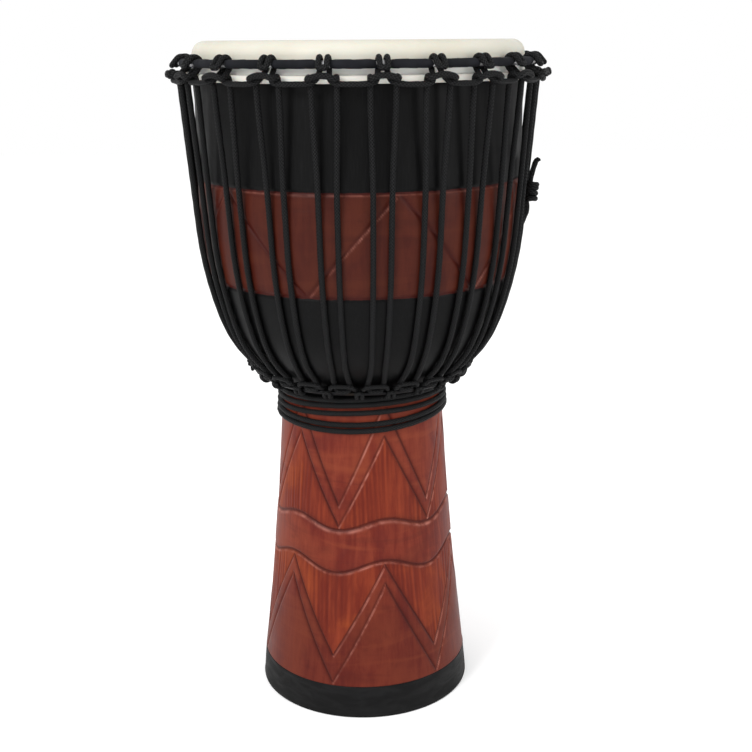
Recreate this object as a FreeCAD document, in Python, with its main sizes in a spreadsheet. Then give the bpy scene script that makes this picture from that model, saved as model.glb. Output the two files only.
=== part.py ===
"""A rope-tuned goblet drum (djembe), in millimetres.

The origin is the centre of the foot on the floor, +Z is up and -Y is the front.
Angles round the drum start at the front and grow towards +X.
"""

import FreeCAD
import Part
import Sketcher
import math
import os
from FreeCAD import Vector

doc = FreeCAD.newDocument("djembe")

# ---------------------------------------------------------------- driving dimensions

DIMENSIONS = {
    # the wooden shell
    "overall_height": 628.0,
    "skin_thickness": 0.8,
    "skin_ring_gap": 0.1,
    "shell_radius": 149.2,
    "edge_rounding": 10.7,
    "bowl_wall": 14.2,
    "bowl_turn_height": 492.0,
    "bowl_shoulder_radius": 130.0,
    "bowl_shoulder_height": 378.0,
    "bowl_base_radius": 88.0,
    "bowl_base_height": 324.5,
    "neck_radius": 76.9,
    "neck_height": 302.5,
    "stem_mid_radius": 88.6,
    "stem_mid_height": 148.0,
    "throat_radius": 60.0,
    "throat_height": 296.0,
    "shoulder_thickening": 3.5,
    "shoulder_inside_drop": 3.0,
    "throat_lip_width": 6.5,
    "throat_lip_drop": 4.0,
    "foot_bore_radius": 88.0,
    # the rubber foot band
    "foot_radius": 104.0,
    "foot_band_height": 31.5,
    "foot_band_top_radius": 100.9,
    "foot_rebate_radius": 97.4,
    "foot_band_lip_radius": 91.0,
    "foot_band_sole": 2.5,
    # steel rings
    "rod_radius": 3.0,
    "crown_ring_radius": 159.5,
    "crown_ring_height": 609.5,
    "cloth_radius": 3.9,
    "flesh_ring_radius": 153.9,
    "flesh_ring_height": 598.0,
    "bottom_rod_radius": 2.0,
    "bottom_ring_radius": 96.6,
    "bottom_ring_height": 322.4,
    # ropes
    "rope_radius": 2.5,
    "cord_radius": 1.9,
    "rope_gap": 0.3,
    "crown_loop_gap": 0.2,
    "bottom_loop_gap": 0.1,
    "hitch_count": 22.0,
    "first_hitch_angle": 6.5,
}

sheet = doc.addObject("Spreadsheet::Sheet", "Dimensions")
for row, (alias, value) in enumerate(DIMENSIONS.items(), start=1):
    sheet.set("A%d" % row, alias.replace("_", " "))
    sheet.set("B%d" % row, str(value))
    sheet.setAlias("B%d" % row, alias)
doc.recompute()


def size(alias):
    """The value of one cell of the sheet."""
    return float(sheet.get(alias))


HITCHES = int(size("hitch_count"))
HITCH_STEP = 360.0 / HITCHES
ROPE = size("rope_radius")
CORD = size("cord_radius")
GAP = size("rope_gap")
STAND_OFF = ROPE + GAP
FOOT_TOP = size("foot_band_height")
JOIN_TOLERANCE = 1e-5
VOLUME_TOLERANCE = 0.01
RIM_HEIGHT = size("overall_height") - size("skin_thickness")

# ---------------------------------------------------------------- plane geometry
# Half-section points are (radius, height). A direction is the angle in degrees by
# which a downward path leans towards the drum's axis.


def direction(lean):
    """Unit vector of a downward path that leans inwards by an angle."""
    return Vector(-math.sin(math.radians(lean)), -math.cos(math.radians(lean)), 0)


def outward(lean):
    """Unit normal of that path, away from the wood."""
    return Vector(math.cos(math.radians(lean)), -math.sin(math.radians(lean)), 0)


def tangent_arc(start, lean, end):
    """Arc from start to end that leaves start along the lean: centre, radius, end lean."""
    chord = end.sub(start)
    chord_lean = math.degrees(math.atan2(-chord.x, -chord.y))
    half_turn = chord_lean - lean
    radius = chord.Length / (2.0 * math.sin(math.radians(half_turn)))
    centre = start.sub(outward(lean) * radius)
    return centre, radius, lean + 2.0 * half_turn


def arc_point(centre, radius, lean):
    """Point of such an arc where its direction has the given lean."""
    return centre.add(outward(lean) * radius)


def tangent_lean(point, centre, radius):
    """Lean of the line from an outside point that touches an arc further down."""
    offset = point.sub(centre)
    bearing = math.degrees(math.atan2(-offset.y, offset.x))
    return bearing + math.degrees(math.acos(radius / offset.Length))


# The outside of the bowl: a straight rim, a long arc and a tighter one, each tangent
# to the one above, and a hollow arc that turns into the neck.
RIM_TOP = Vector(size("shell_radius"), RIM_HEIGHT - size("edge_rounding"), 0)
TURN = Vector(size("shell_radius"), size("bowl_turn_height"), 0)
SHOULDER = Vector(size("bowl_shoulder_radius"), size("bowl_shoulder_height"), 0)
BOWL_BASE = Vector(size("bowl_base_radius"), size("bowl_base_height"), 0)
NECK = Vector(size("neck_radius"), size("neck_height"), 0)
STEM_MID = Vector(size("stem_mid_radius"), size("stem_mid_height"), 0)
STEM_END = Vector(size("foot_band_top_radius"), FOOT_TOP, 0)

SIDE_CENTRE, SIDE_RADIUS, SHOULDER_LEAN = tangent_arc(TURN, 0.0, SHOULDER)
BELLY_CENTRE, BELLY_RADIUS, BASE_LEAN = tangent_arc(SHOULDER, SHOULDER_LEAN, BOWL_BASE)
HOLLOW_CENTRE, HOLLOW_RADIUS, NECK_LEAN = tangent_arc(BOWL_BASE, BASE_LEAN, NECK)


def middle_lean(first, last):
    """Lean half way along an arc."""
    return 0.5 * (first + last)


def arc_edge(start, middle, end):
    """Three-point arc as a curve."""
    return Part.Arc(start, middle, end)


# ---------------------------------------------------------------- sub-part builders

parts = []


def keep(feature, name):
    """Name a finished sub-part and put it on the list of files to write."""
    feature.Label = name
    parts.append(feature)
    return feature


def body_sketch(name):
    """A body with a sketch on its own vertical XZ plane."""
    body = doc.addObject("PartDesign::Body", name)
    sketch = body.newObject("Sketcher::SketchObject", name + "_half_section")
    planes = [plane for plane in body.Origin.OriginFeatures if plane.Role == "XZ_Plane"]
    sketch.AttachmentSupport = [(planes[0], "")]
    sketch.MapMode = "FlatFace"
    return body, sketch


def join_ends(sketch):
    """Tie each curve's end to the next curve's start, by where they lie."""
    count = sketch.GeometryCount
    for index in range(count):
        following = (index + 1) % count
        here = sketch.getPoint(index, 2)
        for end in (1, 2):
            if here.distanceToPoint(sketch.getPoint(following, end)) < JOIN_TOLERANCE:
                sketch.addConstraint(Sketcher.Constraint("Coincident", index, 2, following, end))
                break


def revolve(body, sketch):
    """Turn a body's sketch once round the drum's axis."""
    revolution = body.newObject("PartDesign::Revolution", body.Name + "_turned")
    revolution.Profile = sketch
    revolution.ReferenceAxis = (sketch, ["V_Axis"])
    revolution.Angle = 360.0
    sketch.Visibility = False
    return revolution


def ring(name, radius_cell, height_cell, rod_expression):
    """A steel ring whose sizes are bound to the sheet."""
    torus = doc.addObject("Part::Torus", name)
    torus.setExpression("Radius1", "Dimensions." + radius_cell)
    torus.setExpression("Radius2", rod_expression)
    torus.setExpression("Placement.Base.z", "Dimensions." + height_cell)
    return torus


def rounded_path(points, radii):
    """Straight runs through the points, with a tangent arc of its own radius at each corner."""
    edges = []
    last = points[0]
    for index, radius in enumerate(radii, start=1):
        corner = points[index]
        incoming = corner.sub(points[index - 1]).normalize()
        outgoing = points[index + 1].sub(corner).normalize()
        turn = incoming.getAngle(outgoing)
        setback = radius * math.tan(turn / 2.0)
        entry = corner.sub(incoming * setback)
        leave = corner.add(outgoing * setback)
        to_centre = outgoing.sub(incoming).normalize()
        centre = corner.add(to_centre * (radius / math.cos(turn / 2.0)))
        middle = centre.sub(to_centre * radius)
        if entry.distanceToPoint(last) > JOIN_TOLERANCE:
            edges.append(Part.LineSegment(last, entry).toShape())
        edges.append(Part.Arc(entry, middle, leave).toShape())
        last = leave
    edges.append(Part.LineSegment(last, points[-1]).toShape())
    return edges


def tube(edges, radius, name):
    """A round rope along a path, checked against its section times its length."""
    path = Part.Wire(Part.__sortEdges__(edges))
    start = path.OrderedEdges[0]
    begin = start.valueAt(start.FirstParameter)
    heading = start.tangentAt(start.FirstParameter)
    if begin.distanceToPoint(path.OrderedVertexes[0].Point) > JOIN_TOLERANCE:
        begin = start.valueAt(start.LastParameter)
        heading = start.tangentAt(start.LastParameter) * -1.0
    section = Part.Wire(Part.Circle(begin, heading, radius).toShape())
    solid = path.makePipeShell([section], True, False)
    expected = math.pi * radius ** 2 * path.Length
    if abs(solid.Volume / expected - 1.0) > VOLUME_TOLERANCE:
        raise RuntimeError("%s: tube volume %.1f, expected %.1f" % (name, solid.Volume, expected))
    return solid


def placed(name, shape, angle=0.0):
    """A feature with a given shape, turned round the drum by an angle from the front."""
    feature = doc.addObject("Part::Feature", name)
    feature.Shape = shape
    feature.Placement = FreeCAD.Placement(Vector(0, 0, 0), FreeCAD.Rotation(Vector(0, 0, 1), angle))
    return keep(feature, name)


def hitch_angle(index):
    """Where a hitch sits round the drum."""
    return size("first_hitch_angle") + index * HITCH_STEP


def at(across, radius, height):
    """A point of the front hitch's frame: across to the right, out and up."""
    return Vector(across, -radius, height)


# ---------------------------------------------------------------- shell and foot band

def build_shell():
    """The goblet, carved in one piece and open right through."""
    inner_top = size("shell_radius") - size("bowl_wall")
    peak = size("shell_radius") - size("edge_rounding")
    bevel = peak - inner_top
    turn_inside = Vector(inner_top, size("bowl_turn_height"), 0)
    shoulder_wall = size("bowl_wall") + size("shoulder_thickening")
    shoulder_inside = SHOULDER.sub(Vector(shoulder_wall, size("shoulder_inside_drop"), 0))
    lip_radius = size("throat_radius") + size("throat_lip_width")
    throat_lip = Vector(lip_radius, BOWL_BASE.y - size("throat_lip_drop"), 0)
    throat = Vector(size("throat_radius"), size("throat_height"), 0)
    inner_side = tangent_arc(turn_inside, 0.0, shoulder_inside)
    inner_belly = tangent_arc(shoulder_inside, inner_side[2], throat_lip)
    inner_hollow = tangent_arc(throat_lip, inner_belly[2], throat)
    edge_centre = Vector(peak, RIM_TOP.y, 0)
    edge_middle = edge_centre.add(Vector(1, 1, 0).normalize() * size("edge_rounding"))
    rebate = size("foot_rebate_radius")
    sole = size("foot_band_sole")
    curves = [
        Part.LineSegment(Vector(inner_top, RIM_HEIGHT - bevel, 0), Vector(peak, RIM_HEIGHT, 0)),
        arc_edge(Vector(peak, RIM_HEIGHT, 0), edge_middle, RIM_TOP),
        Part.LineSegment(RIM_TOP, TURN),
        arc_edge(TURN, arc_point(SIDE_CENTRE, SIDE_RADIUS, middle_lean(0.0, SHOULDER_LEAN)), SHOULDER),
        arc_edge(
            SHOULDER,
            arc_point(BELLY_CENTRE, BELLY_RADIUS, middle_lean(SHOULDER_LEAN, BASE_LEAN)),
            BOWL_BASE,
        ),
        arc_edge(
            BOWL_BASE,
            arc_point(HOLLOW_CENTRE, HOLLOW_RADIUS, middle_lean(BASE_LEAN, NECK_LEAN)),
            NECK,
        ),
        arc_edge(NECK, STEM_MID, STEM_END),
        Part.LineSegment(STEM_END, Vector(rebate, FOOT_TOP, 0)),
        Part.LineSegment(Vector(rebate, FOOT_TOP, 0), Vector(rebate, sole, 0)),
        Part.LineSegment(Vector(rebate, sole, 0), Vector(size("foot_bore_radius"), sole, 0)),
        Part.LineSegment(Vector(size("foot_bore_radius"), sole, 0), throat),
        arc_edge(
            throat,
            arc_point(inner_hollow[0], inner_hollow[1], middle_lean(inner_belly[2], inner_hollow[2])),
            throat_lip,
        ),
        arc_edge(
            throat_lip,
            arc_point(inner_belly[0], inner_belly[1], middle_lean(inner_side[2], inner_belly[2])),
            shoulder_inside,
        ),
        arc_edge(
            shoulder_inside,
            arc_point(inner_side[0], inner_side[1], middle_lean(0.0, inner_side[2])),
            turn_inside,
        ),
        Part.LineSegment(turn_inside, Vector(inner_top, RIM_HEIGHT - bevel, 0)),
    ]
    body, sketch = body_sketch("shell")
    for curve in curves:
        sketch.addGeometry(curve, False)
    join_ends(sketch)
    revolve(body, sketch)
    keep(body, "shell")


def build_foot_band():
    """A rubber band let into the wood's rebate, with a sole under the wood."""
    body, sketch = body_sketch("foot_band")
    corners = [
        ("foot_radius", None),
        ("foot_band_top_radius", "foot_band_height"),
        ("foot_rebate_radius", "foot_band_height"),
        ("foot_rebate_radius", "foot_band_sole"),
        ("foot_band_lip_radius", "foot_band_sole"),
        ("foot_band_lip_radius", None),
    ]
    points = [Vector(size(across), size(up) if up else 0.0, 0) for across, up in corners]
    for index, point in enumerate(points):
        sketch.addGeometry(Part.LineSegment(point, points[(index + 1) % len(points)]), False)
    join_ends(sketch)
    for index, (across, up) in enumerate(corners):
        label = "corner%d" % index
        sketch.addConstraint(Sketcher.Constraint("DistanceX", -1, 1, index, 1, points[index].x))
        sketch.renameConstraint(sketch.ConstraintCount - 1, label + "_radius")
        sketch.setExpression("Constraints.%s_radius" % label, "Dimensions." + across)
        if up:
            sketch.addConstraint(Sketcher.Constraint("DistanceY", -1, 1, index, 1, points[index].y))
            sketch.renameConstraint(sketch.ConstraintCount - 1, label + "_height")
            sketch.setExpression("Constraints.%s_height" % label, "Dimensions." + up)
        else:
            sketch.addConstraint(Sketcher.Constraint("PointOnObject", index, 1, -1))
    revolve(body, sketch)
    keep(body, "foot_band")


# ---------------------------------------------------------------- head


def build_rings():
    """The steel rings, and the cloth wound round the crown ring."""
    keep(
        ring("flesh_ring", "flesh_ring_radius", "flesh_ring_height", "Dimensions.rod_radius"),
        "flesh_ring",
    )
    keep(
        ring("crown_ring", "crown_ring_radius", "crown_ring_height", "Dimensions.rod_radius"),
        "crown_ring",
    )
    keep(
        ring("bottom_ring", "bottom_ring_radius", "bottom_ring_height", "Dimensions.bottom_rod_radius"),
        "bottom_ring",
    )
    cloth = ring("cloth_outside", "crown_ring_radius", "crown_ring_height", "Dimensions.cloth_radius")
    core = ring("cloth_inside", "crown_ring_radius", "crown_ring_height", "Dimensions.rod_radius")
    wrap = doc.addObject("Part::Cut", "crown_ring_wrap")
    wrap.Base = cloth
    wrap.Tool = core
    keep(wrap, "crown_ring_wrap")


def build_skin():
    """The goatskin: flat over the rim, down the shell and folded under the flesh ring."""
    thick = size("skin_thickness")
    peak = size("shell_radius") - size("edge_rounding")
    top = size("overall_height")
    fold = Vector(size("flesh_ring_radius"), size("flesh_ring_height"), 0)
    inside = size("rod_radius") + size("skin_ring_gap")
    outside = inside + thick
    edge_centre = Vector(peak, RIM_TOP.y, 0)
    diagonal = Vector(1, 1, 0).normalize()
    rounding = size("edge_rounding")
    down = Vector(0, -1, 0)
    left = Vector(-1, 0, 0)
    right = Vector(1, 0, 0)
    curves = [
        Part.LineSegment(Vector(0, top - thick, 0), Vector(peak, top - thick, 0)),
        arc_edge(Vector(peak, top - thick, 0), edge_centre.add(diagonal * rounding), RIM_TOP),
        Part.LineSegment(RIM_TOP, fold.add(left * outside)),
        arc_edge(fold.add(left * outside), fold.add(down * outside), fold.add(right * outside)),
        Part.LineSegment(fold.add(right * outside), fold.add(right * inside)),
        arc_edge(fold.add(right * inside), fold.add(down * inside), fold.add(left * inside)),
        Part.LineSegment(fold.add(left * inside), RIM_TOP.add(right * thick)),
        arc_edge(
            RIM_TOP.add(right * thick),
            edge_centre.add(diagonal * (rounding + thick)),
            Vector(peak, top, 0),
        ),
        Part.LineSegment(Vector(peak, top, 0), Vector(0, top, 0)),
        Part.LineSegment(Vector(0, top, 0), Vector(0, top - thick, 0)),
    ]
    body, sketch = body_sketch("goatskin_head")
    for curve in curves:
        sketch.addGeometry(curve, False)
    join_ends(sketch)
    revolve(body, sketch)
    keep(body, "goatskin_head")


# ---------------------------------------------------------------- ropes


def touch_angle(out, up, radius, side):
    """Angle at which a line from a point beside a ring touches a circle round the ring."""
    return math.degrees(math.atan2(up, out) + side * math.acos(radius / math.hypot(out, up)))


def wrap_corners(across, ring_radius, ring_height, wrap_radius, span, upward):
    """Corners whose tangent arcs wind a rope round a ring, front, over (or under) and back."""
    first, last = span
    steps = 4
    half_step = 0.5 * (last - first) / steps
    reach = wrap_radius / math.cos(math.radians(half_step))
    corners = []
    for index in range(steps):
        angle = math.radians(first + half_step * (2 * index + 1))
        out = ring_radius + reach * math.cos(angle)
        corners.append(at(across, out, ring_height + upward * reach * math.sin(angle)))
    return corners


def cow_hitch(ring_radius, ring_height, wrap_radius, rope, layout, upward):
    """One hitch with half of the cradle run on each side of it.

    The rope lies across the front of the ring, winds round it twice and comes out
    behind its own crossing piece, on the cradle's side of the ring. upward is 1 where
    the cradle hangs below the ring and -1 where it stands above it.
    """
    offset = layout["wrap_offset"]
    bar = at(offset, ring_radius + layout["bar_out"], ring_height - upward * layout["bar_down"])
    tail = at(offset, ring_radius + layout["tail_out"], ring_height - upward * layout["tail_down"])
    first = touch_angle(layout["bar_out"], -layout["bar_down"], wrap_radius, 1.0)
    last = touch_angle(layout["tail_out"], -layout["tail_down"], wrap_radius, -1.0) + 360.0
    wraps = wrap_corners(offset, ring_radius, ring_height, wrap_radius, (first, last), upward)
    cradle_height = ring_height - upward * layout["cradle_down"]
    half_step = math.radians(HITCH_STEP / 2.0)
    cradle_radius = ring_radius + layout["cradle_out"]
    meeting = at(cradle_radius * math.sin(half_step), cradle_radius * math.cos(half_step), cradle_height)
    run = meeting.x - layout["flare_across"]
    flare = at(layout["flare_across"], -meeting.y + run * math.tan(half_step), cradle_height)
    right = [bar] + wraps + [tail, flare, meeting]
    left = [Vector(-point.x, point.y, point.z) for point in reversed(right)]
    points = left + right
    bends = [layout["flare_bend"], layout["tail_bend"]] + [wrap_radius] * len(wraps) + [layout["bar_bend"]]
    radii = bends + bends[::-1]
    return tube(rounded_path(points, radii), rope, "cow hitch")


CROWN_LAYOUT = {
    "wrap_offset": 4.2,
    "bar_out": 9.9,
    "bar_down": 4.8,
    "bar_bend": 2.9,
    "tail_out": 5.2,
    "tail_down": 12.9,
    "tail_bend": 3.0,
    "flare_across": 7.4,
    "flare_bend": 3.0,
    "cradle_out": 8.5,
    "cradle_down": 16.0,
}

BOTTOM_LAYOUT = {
    "wrap_offset": 2.6,
    "bar_out": 5.2,
    "bar_down": -1.6,
    "bar_bend": 2.2,
    "tail_out": 5.6,
    "tail_down": 4.2,
    "tail_bend": 2.4,
    "flare_across": 6.0,
    "flare_bend": 2.4,
    "cradle_out": 9.5,
    "cradle_down": 6.6,
}


def build_crown_hitches():
    """One hitch of the crown loop rope for each pair of tension strands."""
    wrap_radius = size("cloth_radius") + ROPE + size("crown_loop_gap")
    hitch = cow_hitch(
        size("crown_ring_radius"), size("crown_ring_height"), wrap_radius, ROPE, CROWN_LAYOUT, 1.0
    )
    for index in range(HITCHES):
        placed("crown_hitch_%02d" % (index + 1), hitch.copy(), hitch_angle(index))


def build_bottom_hitches():
    """The loops of the lower cord, all in one node; each cradle run lies over a pair of strands."""
    wrap_radius = size("bottom_rod_radius") + CORD + size("bottom_loop_gap")
    hitch = cow_hitch(
        size("bottom_ring_radius"), size("bottom_ring_height"), wrap_radius, CORD, BOTTOM_LAYOUT, -1.0
    )
    turned = []
    for index in range(HITCHES):
        copy = hitch.copy()
        copy.rotate(Vector(0, 0, 0), Vector(0, 0, 1), hitch_angle(index + 0.5))
        turned.append(copy)
    placed("bottom_hitches", Part.makeCompound(turned))


# The tension rope's route in its own half plane, from the crown down the bowl.
BIGHT_RADIUS = 169.9
BIGHT_HEIGHT = 599.5
BIGHT_HALF_WIDTH = 10.5
BIGHT_BEND = 3.3
STRAND_TOP_RADIUS = 162.4
STRAND_END_LEAN = 50.0
STRAND_END_RUN = 3.0


def strand_points(side):
    """Where one strand of a pair meets the bowl: its plane, tangent points and end."""
    swing = math.asin(BIGHT_HALF_WIDTH / STRAND_TOP_RADIUS) * side
    top = Vector(STRAND_TOP_RADIUS, BIGHT_HEIGHT, 0)
    touch_lean = tangent_lean(top, SIDE_CENTRE, SIDE_RADIUS + STAND_OFF)

    def in_space(point):
        return at(point.x * math.sin(swing), point.x * math.cos(swing), point.y)

    side_arc = (SIDE_CENTRE, SIDE_RADIUS + STAND_OFF, touch_lean, SHOULDER_LEAN)
    belly_arc = (BELLY_CENTRE, BELLY_RADIUS + STAND_OFF, SHOULDER_LEAN, STRAND_END_LEAN)
    arcs = []
    for centre, radius, first, last in (side_arc, belly_arc):
        leans = (first, middle_lean(first, last), last)
        arcs.append([in_space(arc_point(centre, radius, lean)) for lean in leans])
    low = arc_point(BELLY_CENTRE, BELLY_RADIUS + STAND_OFF, STRAND_END_LEAN)
    end = in_space(low.add(direction(STRAND_END_LEAN) * STRAND_END_RUN))
    return in_space(top), arcs, end


def tension_pair():
    """Two strands and the bight between them, hooked over the cradle runs of one hitch."""
    tops = {}
    edges = []
    for side in (-1.0, 1.0):
        top, arcs, end = strand_points(side)
        tops[side] = (top, arcs[0][0])
        for points in arcs:
            edges.append(Part.Arc(*points).toShape())
        edges.append(Part.LineSegment(arcs[-1][-1], end).toShape())
    route = [
        tops[-1.0][1],
        tops[-1.0][0],
        at(tops[-1.0][0].x, BIGHT_RADIUS, BIGHT_HEIGHT),
        at(tops[1.0][0].x, BIGHT_RADIUS, BIGHT_HEIGHT),
        tops[1.0][0],
        tops[1.0][1],
    ]
    edges += rounded_path(route, [BIGHT_BEND] * 4)
    return tube(edges, ROPE, "tension pair")


def build_tension_rope():
    """The tension rope, one node for each pair of strands."""
    pair = tension_pair()
    for index in range(HITCHES):
        placed("tension_rope_%02d" % (index + 1), pair.copy(), hitch_angle(index))


NECK_TURNS = {
    "neck_wrap_upper": (313.2, 308.0, 302.8),
    "neck_wrap_lower": (289.4, 284.2),
}


def neck_turn_radius(height):
    """Radius at which a turn of rope rests in the hollow of the neck or on the stem below it."""
    if height > NECK.y:
        reach = abs(HOLLOW_RADIUS) - STAND_OFF
        return HOLLOW_CENTRE.x - math.sqrt(reach ** 2 - (height - HOLLOW_CENTRE.y) ** 2)
    stem_slope = (STEM_MID.x - NECK.x) / (NECK.y - STEM_MID.y)
    return NECK.x + stem_slope * (NECK.y - height) + STAND_OFF


def build_neck_wraps():
    """Spare rope wound round the neck: three touching turns and two more below a gap."""
    for name, heights in NECK_TURNS.items():
        turns = [
            Part.makeTorus(neck_turn_radius(height), ROPE, Vector(0, 0, height)) for height in heights
        ]
        placed(name, Part.makeCompound(turns))


# Each knot: its angle, its ball and the cut tail that leaves it, which leans outwards.
SIDE_KNOT = {
    "angle": hitch_angle(5) - 3.7,
    "ball_radius": 5.0,
    "centre": (161.6, 491.0),
    "tail_radius": ROPE,
    "tail_start": (159.6, 492.0),
    "tail_length": 36.0,
    "tail_lean_out": 5.1,
}

LOWER_KNOT = {
    "angle": -83.5,
    "ball_radius": 4.3,
    "centre": (109.6, 335.4),
    "tail_radius": CORD,
    "tail_start": (109.6, 335.4),
    "tail_length": 16.0,
    "tail_lean_out": 34.5,
}


def build_tie_knots():
    """The two knots where the tension rope's ends are made fast, with their cut tails."""
    for name, knot in (("side_tie_knot", SIDE_KNOT), ("lower_tie_knot", LOWER_KNOT)):
        ball = Part.makeSphere(knot["ball_radius"], at(0, *knot["centre"]))
        lean = math.radians(knot["tail_lean_out"])
        heading = Vector(0, -math.sin(lean), math.cos(lean))
        start = at(0, *knot["tail_start"])
        tail = Part.makeCylinder(knot["tail_radius"], knot["tail_length"], start, heading)
        placed(name, ball.fuse(tail).removeSplitter(), knot["angle"])


# ---------------------------------------------------------------- build, check and write

build_shell()
build_foot_band()
build_rings()
build_skin()
build_crown_hitches()
build_bottom_hitches()
build_tension_rope()
build_neck_wraps()
build_tie_knots()
doc.recompute()

for item in doc.Objects:
    if "Invalid" in item.State or "Error" in item.State:
        raise RuntimeError("%s did not build: %s" % (item.Name, item.State))
for part in parts:
    if part.Shape.isNull() or not part.Shape.isValid():
        raise RuntimeError("%s has no valid shape" % part.Label)

os.makedirs("parts", exist_ok=True)
for part in parts:
    part.Shape.exportStep(os.path.join("parts", part.Label + ".step"))
print("%d sub-parts written" % len(parts))
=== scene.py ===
"""Looks of a rope-tuned djembe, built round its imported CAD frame. Metres, +Z up, front at -Y."""

import math

import bpy
import numpy as np
from mathutils import Euler, Matrix, Vector


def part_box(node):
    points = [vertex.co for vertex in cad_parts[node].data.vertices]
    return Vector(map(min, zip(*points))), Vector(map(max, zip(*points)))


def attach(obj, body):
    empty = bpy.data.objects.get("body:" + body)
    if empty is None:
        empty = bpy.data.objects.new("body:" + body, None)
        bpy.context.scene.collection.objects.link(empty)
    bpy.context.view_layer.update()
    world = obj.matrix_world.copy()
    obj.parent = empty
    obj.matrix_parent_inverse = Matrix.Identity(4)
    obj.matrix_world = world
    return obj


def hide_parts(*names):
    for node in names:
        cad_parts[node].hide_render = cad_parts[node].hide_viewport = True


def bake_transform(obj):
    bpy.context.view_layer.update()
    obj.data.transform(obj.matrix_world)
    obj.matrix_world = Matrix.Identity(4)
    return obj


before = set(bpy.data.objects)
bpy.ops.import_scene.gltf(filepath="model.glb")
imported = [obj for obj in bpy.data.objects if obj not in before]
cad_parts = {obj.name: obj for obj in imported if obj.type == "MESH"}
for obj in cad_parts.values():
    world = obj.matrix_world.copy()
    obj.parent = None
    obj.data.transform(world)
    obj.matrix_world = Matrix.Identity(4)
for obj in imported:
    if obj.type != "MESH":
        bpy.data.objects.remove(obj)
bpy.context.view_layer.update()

RNG = np.random.default_rng(12)

# ---------------------------------------------------------------- driving dimensions

MM = 0.001
FOOT_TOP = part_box("foot_band")[1].z
FOOT_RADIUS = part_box("foot_band")[1].x
SHELL_RADIUS = 149.2 * MM
RIM_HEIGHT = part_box("shell")[1].z
EDGE_ROUNDING = 10.7 * MM
BOWL_WALL = 14.2 * MM
THROAT_RADIUS = 60.0 * MM
FOOT_BORE = 88.0 * MM
REBATE_RADIUS = 97.4 * MM
FOOT_SOLE = 2.5 * MM
BAND_LIP = 91.0 * MM
THROAT_HEIGHT = 296.0 * MM
THICKENING = np.array([3.5, 3.0]) * MM       # more wood at the bowl's shoulder, and how far it drops
THROAT_LIP = np.array([6.5, -4.0]) * MM      # the throat's upper edge, off its radius and the bowl's base

CROWN_RING = (159.5 * MM, 609.5 * MM)
CLOTH_RADIUS = 3.9 * MM
FLESH_RING = (153.9 * MM, 598.0 * MM)
BOTTOM_RING = (96.6 * MM, 322.4 * MM)
ROPE_RADIUS = 2.5 * MM
CORD_RADIUS = 1.9 * MM
HEAD_CORD = 2.35 * MM
BOTTOM_ROD = 2.0 * MM
STAND_OFF = 2.8 * MM      # from the wood to the middle of a strand
SQUEEZE = 0.9 * MM        # how far a crown hitch presses the ring's cloth in
LOOP_GAP = 0.10 * MM      # between a loop and what it is hitched round
SKIN = 0.8 * MM

HITCHES = 22
HITCH_STEP = 2.0 * math.pi / HITCHES
FIRST_HITCH = math.radians(6.5)

# heights of the painted and carved zones
BAND_TOP = 506.7 * MM
BAND_BOTTOM = 417.2 * MM
PAINT_END = 308.5 * MM


# ---------------------------------------------------------------- half section
# Points are (radius, height). A lean is the angle by which a downward path leans inwards.


def outward(lean):
    """Unit normal of a leaning downward path, away from the wood."""
    return np.array([math.cos(lean), -math.sin(lean)])


def tangent_arc(start, lean, end):
    """Arc that leaves start along the lean and reaches end: centre, radius, first and last lean."""
    chord = np.subtract(end, start)
    half_turn = math.atan2(-chord[0], -chord[1]) - lean
    radius = np.hypot(*chord) / (2.0 * math.sin(half_turn))
    return np.subtract(start, outward(lean) * radius), radius, lean, lean + 2.0 * half_turn


def arc_points(arc, count, offset=0.0):
    """Evenly spaced points of such an arc, moved outwards by an offset."""
    centre, radius, first, last = arc
    return [centre + outward(a) * (radius + offset) for a in np.linspace(first, last, count)]


TURN = np.array([SHELL_RADIUS, 492.0 * MM])
SHOULDER = np.array([130.0, 378.0]) * MM
BOWL_BASE = np.array([88.0, 324.5]) * MM
NECK = np.array([76.9, 302.5]) * MM
STEM_MID = np.array([88.6, 148.0]) * MM
STEM_END = np.array([100.9 * MM, FOOT_TOP])

SIDE_ARC = tangent_arc(TURN, 0.0, SHOULDER)
BELLY_ARC = tangent_arc(SHOULDER, SIDE_ARC[3], BOWL_BASE)
HOLLOW_ARC = tangent_arc(BOWL_BASE, BELLY_ARC[3], NECK)


def circle_through(a, b, c):
    """Centre and radius of the circle through three points."""
    rows = 2.0 * np.array([b - a, c - a])
    centre = np.linalg.solve(rows, [b @ b - a @ a, c @ c - a @ a])
    return centre, np.hypot(*(a - centre))


STEM_CENTRE, STEM_CURVE = circle_through(NECK, STEM_MID, STEM_END)


def wood_radius(height):
    """Outside radius of the uncarved shell at heights below its rounded rim."""
    z = np.asarray(height, float)

    def arc(centre, radius, sign):
        return centre[0] + sign * np.sqrt(np.maximum(radius**2 - (z - centre[1]) ** 2, 0.0))

    side = arc(SIDE_ARC[0], SIDE_ARC[1], 1.0)
    belly = arc(BELLY_ARC[0], BELLY_ARC[1], 1.0)
    hollow = arc(HOLLOW_ARC[0], abs(HOLLOW_ARC[1]), -1.0)
    stem = arc(STEM_CENTRE, STEM_CURVE, -1.0)
    zones = [z >= TURN[1], z >= SHOULDER[1], z >= BOWL_BASE[1], z >= NECK[1]]
    return np.select(zones, [np.full_like(z, SHELL_RADIUS), side, belly, hollow], stem)


# ---------------------------------------------------------------- mesh helpers


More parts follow.
